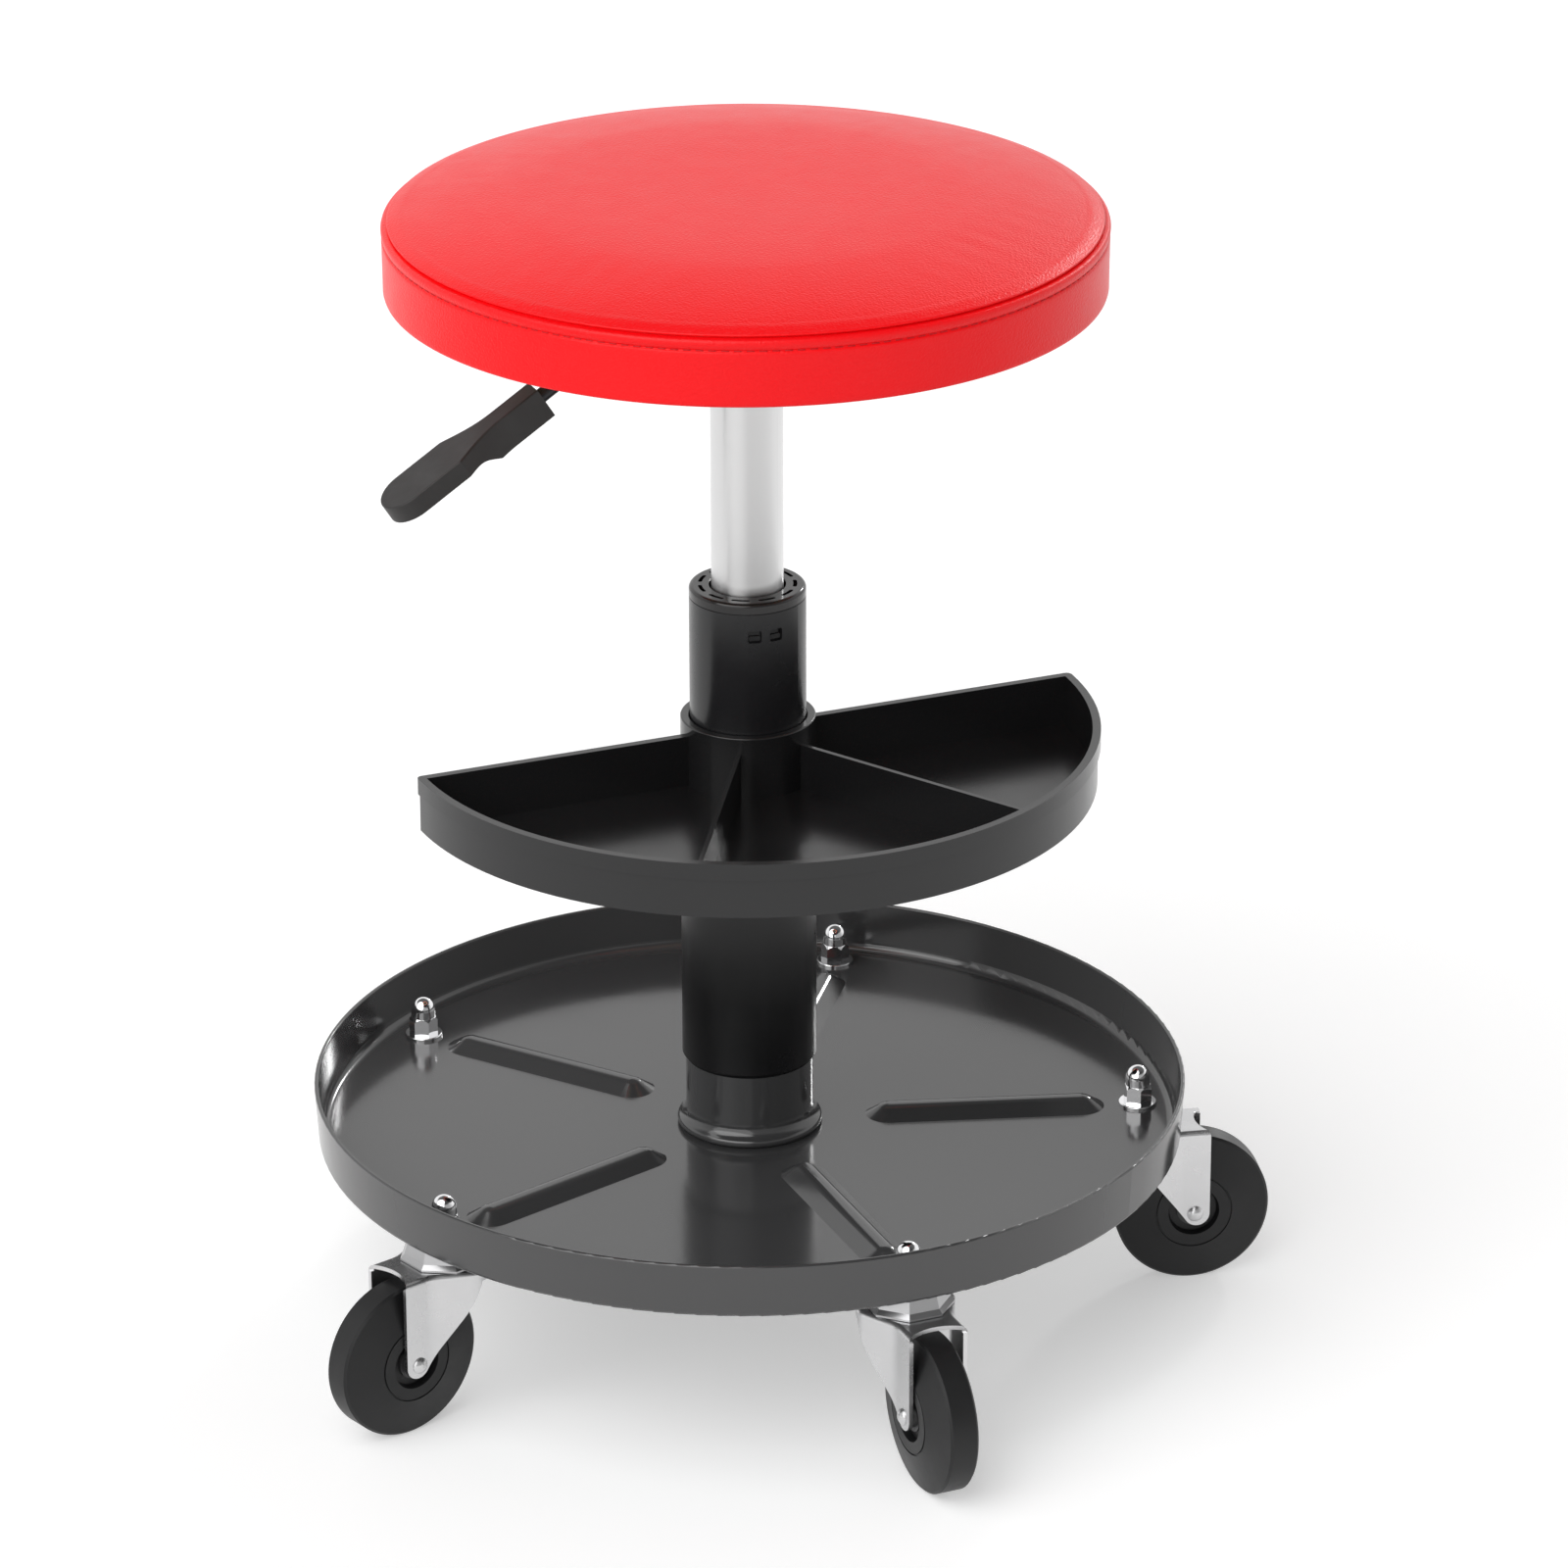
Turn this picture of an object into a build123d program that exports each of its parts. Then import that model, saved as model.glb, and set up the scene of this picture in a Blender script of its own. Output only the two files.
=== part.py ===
"""Mechanic stool: a round padded seat on a gas lift, a swinging half-moon tool tray
and a round pan base on five swivel casters. Millimetres, +Z up, the floor at Z = 0,
the column axis on Z, and the third caster's stem on -X."""

import os
from math import acos, atan2, cos, degrees, radians, sin, sqrt, tan

from build123d import *

# Overall sizes
seat_radius = 178.1
pan_bottom = 97.2
running_gap = 0.3
slip_gap = 0.06

# Casters, about their own stem: X along the trail, Z up from the floor
caster_angles = [36.0, 108.0, 180.0, 252.0, 324.0]
swivel_offsets = [3.4, 0.0, -80.0, -1.8, 0.3]
stem_circle = 201.0
trail = 28.3
wheel_radius = 40.5
tread_width = 15.0
hub_width = 25.4
fork_width = 31.2
sheet = 2.2
crown_top = pan_bottom - 10.0
crown_radius = 26.0
arm_rear = 36.0
arm_crease = 19.5
arm_bend = 16.0
flare_bend = 10.0
arm_end = 6.7
arch_depth = 5.8
arch_radius = 24.0
axle_radius = 3.0
stem_radius = 4.0
race_cap_flats = 42.5
race_cap_turn = 22.5
cap_flange = 1.0
cap_flare = 2.2
race_bore = 17.0
race_depth = 7.4
nut_flats = 13.0
nut_hex_height = 9.4
nut_height = 19.8
nut_turns = [-25.4, -21.4, -34.8, 12.0, 3.0]
dome_radius = 6.4
nut_washer_radius = 9.85

# Base pan
pan_radius = 221.4
rim_radius = 223.2
pan_height = 28.7
pan_sheet = 1.6
rim_sheet = 2.3
bead_height = 5.7
bead_width = 24.0
bead_top = 6.0
bead_round = 7.0
bead_start = 59.8
bead_end = 183.5
pan_bore = 20.0

# Column and the tubes around it
column_radius = 29.35
column_wall = 2.0
column_top = 388.9
socket_radius = 32.6
socket_top = 136.7
bell_radius = 37.2
bell_lip = 2.6
bell_flare = 8.5
sleeve_radius = 34.37
sleeve_top = 289.2
cap_height = 5.8
cap_bore = 19.2
cap_slots = 11
slot_circle = 23.9
slot_sweep = 17.6
slot_width = 2.0
slot_phase = -67.1
bush_length = 58.0

# Half-moon tray
tray_bottom = 290.3
tray_height = 28.6
tray_radius = 176.1
lip_radius = 177.5
lip_height = 8.4
lip_step = 1.4
rim_width = 4.2
tray_floor = 2.0
hub_radius = 34.17
hub_top = 324.6
divider_height = 25.9
divider_wall = 2.4
divider_angle = 30.0
tray_angle = -36.65

# Gas lift
cylinder_radius = 18.13
cylinder_wall = 2.5
cylinder_bottom = 250.0
cylinder_top = 528.0
rod_radius = 5.0
rod_bottom = 98.9
piston_bottom = 264.0
seat_of_rod = 101.0

# Seat and its mechanism
band_bottom = 553.1
seam_height = 588.0
crown_height = 602.0
vinyl = 1.5
board_radius = 172.0
board_thickness = 12.0
plate_size = 160.0
plate_thickness = 2.5
housing_length = 92.0
housing_width = 58.0
housing_height = 30.0
bolt_spacing = 126.0

# Lever, in the upright plane through the column axis
lever_angle = 233.8
lever_height = 541.0
pivot_distance = 30.0
bend_distance = 59.3
lever_drop = 32.4
lever_rod_radius = 3.7
grip_start = 109.0
grip_length = 93.9
grip_width = 29.1
grip_neck_width = 12.6
grip_thickness = 10.0
grip_neck_thickness = 16.9
grip_neck_end = 23.2
grip_flare_end = 51.8
grip_step_start = 33.1
grip_step_end = 47.0


def turned(angle, distance=0.0, height=0.0):
    """A level plane at a distance out from the column axis, its X pointing outwards."""
    out = Vector(cos(radians(angle)), sin(radians(angle)), 0)
    return Plane(origin=out * distance + Vector(0, 0, height), x_dir=out, z_dir=(0, 0, 1))


def upright(level):
    """The upright plane along a level plane's X: its own Y points up."""
    return Plane(origin=level.origin, x_dir=level.x_dir, z_dir=-level.y_dir)


def on_stem(angle, turn):
    """A level plane on a caster's stem, its X turned away from the outward line."""
    stem = turned(angle, stem_circle)
    return Plane(origin=stem.origin, x_dir=turned(angle + turn).x_dir, z_dir=(0, 0, 1))


def dome_size(radius, rise):
    """The radius of a dome centred on its own axis, from its rim's radius and its rise."""
    return (radius ** 2 + rise ** 2) / (2 * rise)


def ring(outer, inner, height, level=Plane.XY):
    """A plain ring or washer standing on a level plane."""
    with BuildPart() as piece:
        with BuildSketch(level):
            Circle(outer)
            if inner > 0:
                Circle(inner, mode=Mode.SUBTRACT)
        extrude(amount=height)
    return piece.part


def save(part, name):
    """Label one finished piece and write it out."""
    part.label = name
    export_step(part, f"parts/{name}.step")
    print(f"{name}: {len(part.solids())} solids, {part.volume / 1000:.2f} cm3")


os.makedirs("parts", exist_ok=True)
floor_top = pan_bottom + pan_sheet
stem_planes = [turned(angle, stem_circle) for angle in caster_angles]

# Base pan: a pressed dish with five hollow beads and a hole for each stem
with BuildPart() as base_pan:
    with BuildSketch(Plane.XZ):
        with BuildLine():
            Polyline(
                (pan_bore, pan_bottom),
                (pan_radius, pan_bottom),
                (rim_radius, pan_bottom + pan_height),
                (rim_radius - rim_sheet, pan_bottom + pan_height),
                (pan_radius - rim_sheet, floor_top),
                (pan_bore, floor_top),
                close=True,
            )
        make_face()
    revolve(axis=Axis.Z)
    inner_corner = base_pan.edges().filter_by(GeomType.CIRCLE).filter_by_position(
        Axis.Z, floor_top - 0.1, floor_top + 0.1
    ).sort_by(SortBy.LENGTH)[-1]
    fillet(inner_corner, radius=5.0)
    outer_corner = base_pan.edges().filter_by(GeomType.CIRCLE).filter_by_position(
        Axis.Z, pan_bottom - 0.1, pan_bottom + 0.1
    ).sort_by(SortBy.LENGTH)[-1]
    fillet(outer_corner, radius=2.0)
    rim_edges = base_pan.edges().filter_by(GeomType.CIRCLE).group_by(Axis.Z)[-1]
    fillet(rim_edges, radius=0.9)
    bead_middle = (bead_start + bead_end) / 2
    bead_length = bead_end - bead_start
    bead_slope = degrees(atan2((bead_width - bead_top) / 2, bead_height))
    for angle in caster_angles:
        with BuildSketch(turned(angle, bead_middle, floor_top)):
            SlotOverall(bead_length, bead_width)
        extrude(amount=bead_height, taper=bead_slope)
        bead_crown = base_pan.faces().filter_by(Axis.Z).sort_by_distance(
            turned(angle, bead_middle, floor_top + bead_height).origin
        )[0]
        fillet(bead_crown.edges(), radius=bead_round)
        with BuildSketch(turned(angle, bead_middle, pan_bottom)):
            SlotOverall(bead_length - 1.2, bead_width - 1.2)
        extrude(amount=bead_height, taper=bead_slope, mode=Mode.SUBTRACT)
    for stem_plane in stem_planes:
        with BuildSketch(stem_plane.offset(pan_bottom)):
            Circle(stem_radius + 0.2)
        extrude(amount=pan_sheet + 1, mode=Mode.SUBTRACT)
save(base_pan.part, "base_pan")

# Flared socket welded to the pan, which holds the foot of the column
lip_centre = (bell_radius - bell_lip, floor_top + bell_lip)
bell_reach = bell_flare + bell_lip
flare_turn = degrees(acos((socket_radius + bell_flare - lip_centre[0]) / bell_reach))
flare_centre = (socket_radius + bell_flare, lip_centre[1] + bell_reach * sin(radians(flare_turn)))
with BuildPart() as base_socket:
    with BuildSketch(Plane.XZ):
        with BuildLine():
            Polyline(
                (lip_centre[0], floor_top),
                (column_radius + slip_gap, floor_top),
                (column_radius + slip_gap, socket_top),
                (socket_radius, socket_top),
                (socket_radius, flare_centre[1]),
            )
            CenterArc(flare_centre, bell_flare, 180, flare_turn)
            CenterArc(lip_centre, bell_lip, -90, 90 + flare_turn)
        make_face()
    revolve(axis=Axis.Z)
save(base_socket.part, "base_socket")

# Column tube, with four windows for the guide bush's tabs
window_height = 377.2
window_size = (6.8, 6.4)
window_angles = [-51.7, -29.7, 128.3, 150.3]
with BuildPart() as column_tube:
    with BuildSketch(Plane.XY.offset(floor_top)):
        Circle(column_radius)
        Circle(column_radius - column_wall, mode=Mode.SUBTRACT)
    extrude(amount=column_top - floor_top)
    for angle in window_angles:
        with BuildSketch(upright(turned(angle + 90, 0, window_height)).offset(-column_radius - 1)):
            RectangleRounded(*window_size, 1.0)
        extrude(amount=column_wall + 2, mode=Mode.SUBTRACT)
save(column_tube.part, "column_tube")

# Bottom plate inside the column, which the thrust bearing stands on
bottom_plate = ring(column_radius - column_wall - 0.02, rod_radius + 0.1, 3.0, Plane.XY.offset(seat_of_rod))
save(bottom_plate, "column_bottom_plate")

# Guide bush with snap tabs, a running fit on the gas cylinder
bush_outer = column_radius - column_wall - 0.05
bush_bottom = 322.5
with BuildPart() as guide_bush:
    with BuildSketch(Plane.XY.offset(bush_bottom)):
        Circle(bush_outer)
        Circle(cylinder_radius + 0.08, mode=Mode.SUBTRACT)
    extrude(amount=bush_length)
    for angle in window_angles:
        tab_plane = upright(turned(angle + 90, 0, window_height)).offset(-bush_outer - 1.0)
        with BuildSketch(tab_plane):
            with Locations((0, 0.6 - window_size[1] / 4)):
                RectangleRounded(window_size[0] - 1.2, window_size[1] / 2 - 0.8, 0.8)
        extrude(amount=2.2)
save(guide_bush.part, "guide_bush")

# Slotted cap that closes the top of the column
with BuildPart() as column_cap:
    with BuildSketch(Plane.XZ):
        with BuildLine():
            Polyline(
                (cap_bore, column_top),
                (cap_bore, column_top + cap_height),
                (column_radius + 0.05, column_top + cap_height),
                (column_radius + 0.05, column_top + 0.5),
                (column_radius - 0.5, column_top + 0.5),
                (column_radius - 0.5, column_top),
                (column_radius - column_wall - 0.05, column_top),
                (column_radius - column_wall - 0.05, column_top - 7.5),
                (column_radius - column_wall - 1.45, column_top - 7.5),
                (column_radius - column_wall - 1.45, column_top),
                close=True,
            )
        make_face()
    revolve(axis=Axis.Z)
    cap_rims = column_cap.edges().filter_by(GeomType.CIRCLE).group_by(Axis.Z)[-1]
    fillet(cap_rims.sort_by(SortBy.LENGTH)[-1], radius=2.0)
    fillet(cap_rims.sort_by(SortBy.LENGTH)[0], radius=0.6)
    with BuildSketch(Plane.XY.offset(column_top)) as slots:
        with PolarLocations(0, cap_slots, start_angle=slot_phase):
            SlotArc(CenterArc((0, 0), slot_circle, -slot_sweep / 2, slot_sweep), slot_width)
    extrude(amount=cap_height, mode=Mode.SUBTRACT)
save(column_cap.part, "column_cap")

# Spacer sleeve below the tray, with a chamfered foot
with BuildPart() as spacer_sleeve:
    with BuildSketch(Plane.XY.offset(socket_top)):
        Circle(sleeve_radius)
        Circle(column_radius + 0.15, mode=Mode.SUBTRACT)
    extrude(amount=sleeve_top - socket_top)
    foot = spacer_sleeve.edges().filter_by(GeomType.CIRCLE).group_by(Axis.Z)[0].sort_by(SortBy.LENGTH)[-1]
    chamfer(foot, length=2.4, length2=2.2)
save(spacer_sleeve.part, "spacer_sleeve")

# Nylon washer that the tray turns on
save(ring(sleeve_radius - 0.4, column_radius + 0.15, 1.0, Plane.XY.offset(sleeve_top)), "tray_washer")

# Half-moon tray, moulded in one with its hub and two dividers
tray_plane = turned(tray_angle, 0, tray_bottom)


def half_disc(radius, back):
    """Draw a disc with one side cut off straight, at a distance from its centre."""
    Circle(radius)
    with Locations((back - radius, 0)):
        Rectangle(2 * radius, 2 * radius + 2, mode=Mode.SUBTRACT)


with BuildPart() as half_tray:
    with BuildSketch(tray_plane):
        half_disc(tray_radius, lip_step)
    extrude(amount=tray_height)
    with BuildSketch(tray_plane.offset(tray_height - lip_height)):
        half_disc(lip_radius, 0)
    extrude(amount=lip_height)
    with BuildSketch(tray_plane.offset(tray_floor)):
        half_disc(lip_radius - rim_width, rim_width)
    extrude(amount=tray_height, mode=Mode.SUBTRACT)
    for side in (-1, 1):
        divider_plane = turned(tray_angle + side * divider_angle, 0, tray_bottom)
        with BuildSketch(divider_plane):
            with Locations(((hub_radius + lip_radius - rim_width) / 2, 0)):
                Rectangle(lip_radius - rim_width - hub_radius + 3, divider_wall)
        extrude(amount=divider_height)
    with BuildSketch(tray_plane):
        Circle(hub_radius)
    extrude(amount=hub_top - tray_bottom)
    with BuildSketch(tray_plane):
        Circle(column_radius + running_gap)
    extrude(amount=hub_top - tray_bottom, mode=Mode.SUBTRACT)
    corners = half_tray.edges().filter_by(Axis.Z).filter_by_position(
        Axis.Z, tray_bottom + tray_height - lip_height / 2 - 1, tray_bottom + tray_height - lip_height / 2 + 1
    ).sort_by_distance((0, 0, tray_bottom))[-2:]
    fillet(corners, radius=3.0)
    hub_rim = half_tray.edges().filter_by(GeomType.CIRCLE).group_by(Axis.Z)[-1]
    fillet(hub_rim, radius=0.8)
save(half_tray.part, "half_tray")

# Piston rod with the shoulder that rests on the thrust bearing
bearing_top = seat_of_rod + 9.2
with BuildPart() as piston_rod:
    with BuildSketch(Plane.XY.offset(rod_bottom)):
        Circle(rod_radius)
    extrude(amount=piston_bottom + 10.0 - rod_bottom)
    with BuildSketch(Plane.XY.offset(bearing_top)):
        Circle(8.5)
    extrude(amount=4.0)
save(piston_rod.part, "piston_rod")

# Thrust bearing, clip and bump stop on the foot of the rod
save(ring(13.0, rod_radius + 0.1, 1.5, Plane.XY.offset(seat_of_rod + 3.0)), "thrust_race_lower")
save(ring(13.0, rod_radius, 1.5, Plane.XY.offset(bearing_top - 1.5)), "thrust_race_upper")
with BuildPart() as thrust_balls:
    with PolarLocations(9.5, 12):
        with Locations((0, 0, seat_of_rod + 6.1)):
            Sphere(1.4)
save(thrust_balls.part, "thrust_balls")
save(ring(9.0, rod_radius, 1.2, Plane.XY.offset(seat_of_rod - 1.5)), "rod_clip")
with BuildPart() as bump_stop:
    with BuildSketch(Plane.XY.offset(bearing_top + 4.0)):
        Circle(12.0)
        Circle(rod_radius, mode=Mode.SUBTRACT)
    extrude(amount=11.0)
    fillet(bump_stop.edges().group_by(Axis.Z)[-1].sort_by(SortBy.LENGTH)[-1], radius=3.0)
save(bump_stop.part, "bump_stop")

# Piston head, which slides in the gas cylinder
piston_radius = cylinder_radius - cylinder_wall - 0.1
with BuildPart() as piston_head:
    with BuildSketch(Plane.XY.offset(piston_bottom)):
        Circle(piston_radius)
        Circle(rod_radius, mode=Mode.SUBTRACT)
    extrude(amount=10.0)
    with BuildSketch(Plane.XY.offset(piston_bottom + 3.5)):
        Circle(piston_radius)
        Circle(piston_radius - 1.4, mode=Mode.SUBTRACT)
    extrude(amount=3.0, mode=Mode.SUBTRACT)
save(piston_head.part, "piston_head")

# Gas cylinder: the bright tube under the seat, tapered where the socket grips it
taper_start = 500.0
taper_radius = 16.9
bore_radius = cylinder_radius - cylinder_wall
with BuildPart() as gas_cylinder:
    with BuildSketch(Plane.XZ):
        with BuildLine():
            Polyline(
                (bore_radius, cylinder_bottom),
                (cylinder_radius, cylinder_bottom),
                (cylinder_radius, taper_start),
                (taper_radius, cylinder_top),
                (bore_radius - 1.4, cylinder_top),
                (bore_radius - 1.4, cylinder_top - 20.0),
                (bore_radius, cylinder_top - 20.0),
                close=True,
            )
        make_face()
    revolve(axis=Axis.Z)
    fillet(gas_cylinder.edges().group_by(Axis.Z)[0].sort_by(SortBy.LENGTH)[-1], radius=1.0)
save(gas_cylinder.part, "gas_cylinder")
save(ring(bore_radius, rod_radius + slip_gap, 12.0, Plane.XY.offset(cylinder_bottom + 0.5)), "cylinder_gland")

# Valve body in the top of the cylinder and the pin that the lever presses
pin_radius = 3.4
pin_top = lever_height - lever_rod_radius - 0.5
valve_bottom = cylinder_top - 20.0
with BuildPart() as valve_body:
    with BuildSketch(Plane.XY.offset(valve_bottom)):
        Circle(bore_radius - 1.42)
    extrude(amount=20.0)
    with BuildSketch(Plane.XY.offset(valve_bottom + 6.0)):
        Circle(pin_radius + slip_gap)
    extrude(amount=20.0, mode=Mode.SUBTRACT)
save(valve_body.part, "valve_body")
with BuildPart() as release_pin:
    with BuildSketch(Plane.XY.offset(valve_bottom + 12.0)):
        Circle(pin_radius)
    extrude(amount=pin_top - valve_bottom - 12.0)
    fillet(release_pin.edges().group_by(Axis.Z)[-1], radius=2.4)
save(release_pin.part, "release_pin")

# Seat plate, the pressed housing under it and the socket that grips the cylinder
plate_top = band_bottom + vinyl
plate_bottom = plate_top - plate_thickness
housing_bottom = plate_bottom - housing_height
lever_level = turned(lever_angle)
with BuildPart() as seat_plate:
    with BuildSketch(lever_level.offset(plate_bottom)):
        RectangleRounded(plate_size, plate_size, 14.0)
        with GridLocations(bolt_spacing, bolt_spacing, 2, 2):
            Circle(3.3, mode=Mode.SUBTRACT)
    extrude(amount=plate_thickness)
save(seat_plate.part, "seat_plate")

socket_outer = 22.0
with BuildPart() as mechanism_housing:
    with BuildSketch(lever_level.offset(housing_bottom)):
        RectangleRounded(housing_length, housing_width, 8.0)
    extrude(amount=housing_height)
    fillet(mechanism_housing.edges().group_by(Axis.Z)[0], radius=4.0)
    with BuildSketch(lever_level.offset(housing_bottom + plate_thickness)):
        RectangleRounded(housing_length - 2 * plate_thickness, housing_width - 2 * plate_thickness, 5.5)
    extrude(amount=housing_height, mode=Mode.SUBTRACT)
    with BuildSketch(lever_level.offset(plate_bottom - 2.0)):
        RectangleRounded(housing_length + 14.0, housing_width + 14.0, 10.0)
        RectangleRounded(housing_length - 2 * plate_thickness, housing_width - 2 * plate_thickness, 5.5,
                         mode=Mode.SUBTRACT)
    extrude(amount=2.0)
    with BuildSketch(lever_level.offset(housing_bottom)):
        Circle(socket_outer)
    extrude(amount=plate_thickness + 1, mode=Mode.SUBTRACT)
    with BuildSketch(Plane(turned(lever_angle, housing_length / 2 - 6.0, lever_height).origin,
                           x_dir=lever_level.y_dir, z_dir=lever_level.x_dir)):
        SlotOverall(20.0, 11.0, rotation=90)
    extrude(amount=12.0, mode=Mode.SUBTRACT)
    with BuildSketch(upright(turned(lever_angle, pivot_distance, lever_height))):
        Circle(2.5)
    extrude(amount=housing_width, both=True, mode=Mode.SUBTRACT)
save(mechanism_housing.part, "mechanism_housing")

socket_bottom = taper_start + 4.0
taper = (cylinder_radius - taper_radius) / (cylinder_top - taper_start)
with BuildPart() as mechanism_socket:
    with BuildSketch(Plane.XZ):
        with BuildLine():
            Polyline(
                (cylinder_radius - taper * 4.0 + 0.03, socket_bottom),
                (socket_outer, socket_bottom),
                (socket_outer, cylinder_top - 1.0),
                (taper_radius + taper * 1.0 + 0.03, cylinder_top - 1.0),
                close=True,
            )
        make_face()
    revolve(axis=Axis.Z)
    fillet(mechanism_socket.edges().group_by(Axis.Z)[0].sort_by(SortBy.LENGTH)[-1], radius=1.5)
save(mechanism_socket.part, "mechanism_socket")

# Pivot pin for the lever, across the housing
with BuildPart() as lever_pivot_pin:
    with BuildSketch(upright(turned(lever_angle, pivot_distance, lever_height))):
        Circle(2.5)
    extrude(amount=housing_width / 2 + 2.5, both=True)
    for side in (-1, 1):
        pin_plane = upright(turned(lever_angle, pivot_distance, lever_height))
        with BuildSketch(pin_plane.offset(side * housing_width / 2)):
            Circle(4.2)
        extrude(amount=side * 2.0)
save(lever_pivot_pin.part, "lever_pivot_pin")

# Lever rod: bent steel bar with an eye for the pivot pin
lever_side = upright(turned(lever_angle, 0, lever_height))
drop = radians(lever_drop)
rod_end = grip_start + 24.0
bend_point = (bend_distance, 0)
end_point = (rod_end, -(rod_end - bend_distance) * tan(drop))
with BuildPart() as lever_rod:
    with BuildLine(lever_side) as rod_path:
        FilletPolyline((-1.5, 0), bend_point, end_point, radius=16.0)
    with BuildSketch(Plane(origin=lever_side.from_local_coords((-1.5, 0, 0)), z_dir=lever_side.x_dir)):
        Circle(lever_rod_radius)
    sweep()
    with BuildSketch(upright(turned(lever_angle, pivot_distance, lever_height))):
        Circle(6.5)
    extrude(amount=7.0, both=True)
    with BuildSketch(upright(turned(lever_angle, pivot_distance, lever_height))):
        Circle(2.5 + slip_gap)
    extrude(amount=12.0, both=True, mode=Mode.SUBTRACT)
save(lever_rod.part, "lever_rod")

# Lever handle: a flat paddle that narrows to a deeper neck round the rod
grip_origin = lever_side.from_local_coords((grip_start, -(grip_start - bend_distance) * tan(drop), 0))
grip_dir = lever_side.x_dir * cos(drop) - Vector(0, 0, 1) * sin(drop)
grip_side = Plane(origin=grip_origin, x_dir=grip_dir, z_dir=lever_side.z_dir)
grip_face = Plane(origin=grip_origin, x_dir=grip_dir, z_dir=grip_side.y_dir)
grip_top = 7.0
with BuildPart() as lever_handle:
    with BuildSketch(grip_face):
        with BuildLine():
            Line((0, grip_neck_width / 2), (grip_neck_end, grip_neck_width / 2))
            Spline((grip_neck_end, grip_neck_width / 2), (grip_flare_end, grip_width / 2),
                   tangents=((1, 0), (1, 0.42)))
            Line((grip_flare_end, grip_width / 2), (grip_length - grip_width / 2, grip_width / 2))
            RadiusArc((grip_length - grip_width / 2, grip_width / 2), (grip_length, 0), grip_width / 2)
            mirror(about=Plane.XZ)
            Line((0, grip_neck_width / 2), (0, -grip_neck_width / 2))
        make_face()
    extrude(amount=30.0, both=True)
    with BuildSketch(grip_side):
        with BuildLine():
            Polyline(
                (grip_step_start, grip_top - grip_neck_thickness),
                (0, grip_top - grip_neck_thickness),
                (0, grip_top),
                (grip_length, grip_top),
                (grip_length, grip_top - grip_thickness),
                (grip_step_end, grip_top - grip_thickness),
            )
            Spline((grip_step_end, grip_top - grip_thickness),
                   (grip_step_start, grip_top - grip_neck_thickness), tangents=((-1, 0), (-1, -0.62)))
        make_face()
    extrude(amount=grip_width, both=True, mode=Mode.INTERSECT)
    grip_rims = lever_handle.faces().sort_by(Axis(grip_origin, grip_side.y_dir))[-1].edges()
    fillet(grip_rims, radius=0.9)
    with BuildSketch(Plane(origin=grip_origin, z_dir=grip_dir)):
        Circle(lever_rod_radius)
    extrude(amount=24.0 / cos(drop) + 0.5, mode=Mode.SUBTRACT)
save(lever_handle.part, "lever_handle")

# Plywood board, its tee nuts, and the bolts and washers under the plate
board_top = plate_top + board_thickness
with BuildPart() as seat_board:
    with BuildSketch(lever_level.offset(plate_top)):
        Circle(board_radius)
        with GridLocations(bolt_spacing, bolt_spacing, 2, 2):
            Circle(4.5, mode=Mode.SUBTRACT)
    extrude(amount=board_thickness)
    with BuildSketch(lever_level.offset(board_top - 1.3)):
        with GridLocations(bolt_spacing, bolt_spacing, 2, 2):
            Circle(9.0)
    extrude(amount=1.3, mode=Mode.SUBTRACT)
save(seat_board.part, "seat_board")
with BuildPart() as tee_nuts:
    with BuildSketch(lever_level.offset(plate_top + 2.0)):
        with GridLocations(bolt_spacing, bolt_spacing, 2, 2):
            Circle(4.5)
    extrude(amount=board_thickness - 2.0)
    with BuildSketch(lever_level.offset(board_top - 1.3)):
        with GridLocations(bolt_spacing, bolt_spacing, 2, 2):
            Circle(9.0)
    extrude(amount=1.3)
    with BuildSketch(lever_level.offset(plate_top)):
        with GridLocations(bolt_spacing, bolt_spacing, 2, 2):
            Circle(3.0)
    extrude(amount=board_thickness, mode=Mode.SUBTRACT)
save(tee_nuts.part, "tee_nuts")
with BuildPart() as bolt_washers:
    with BuildSketch(lever_level.offset(plate_bottom - 1.4)):
        with GridLocations(bolt_spacing, bolt_spacing, 2, 2):
            Circle(7.0)
            Circle(3.2, mode=Mode.SUBTRACT)
    extrude(amount=1.4)
save(bolt_washers.part, "bolt_washers")
with BuildPart() as seat_bolts:
    with BuildSketch(lever_level.offset(plate_bottom - 5.4)):
        with GridLocations(bolt_spacing, bolt_spacing, 2, 2):
            RegularPolygon(5.0, 6, major_radius=False)
    extrude(amount=4.0)
    with BuildSketch(lever_level.offset(plate_bottom - 1.4)):
        with GridLocations(bolt_spacing, bolt_spacing, 2, 2):
            Circle(3.0)
    extrude(amount=plate_thickness + 1.4 + board_thickness - 1.5)
save(seat_bolts.part, "seat_bolts")

# Seat cover: a crowned top and a drawn-in band of vinyl, turned under the board
hem_radius = 150.0
shoulder_radius = 140.0
shoulder_rise = 8.8


def cushion_line(inset, base):
    """Draw the cushion's half profile, a distance inside the cover's outer face."""
    band = seat_radius - inset
    top = crown_height - inset
    shoulder = (shoulder_radius - inset, seam_height + shoulder_rise - inset)
    Polyline((0, base), (band - 0.9, base), (band, base + 1.2))
    ThreePointArc((band, base + 1.2), (band - 0.5, base + 16.0), (band - 2.2, seam_height - 2.6))
    Line((band - 2.2, seam_height - 2.6), (band - 3.4, seam_height - 0.2))
    ThreePointArc((band - 3.4, seam_height - 0.2), (164.0 - inset * 0.5, seam_height + 4.4 - inset), shoulder)
    RadiusArc(shoulder, (0, top), -dome_size(shoulder[0], top - shoulder[1]))
    Line((0, top), (0, base))


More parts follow.
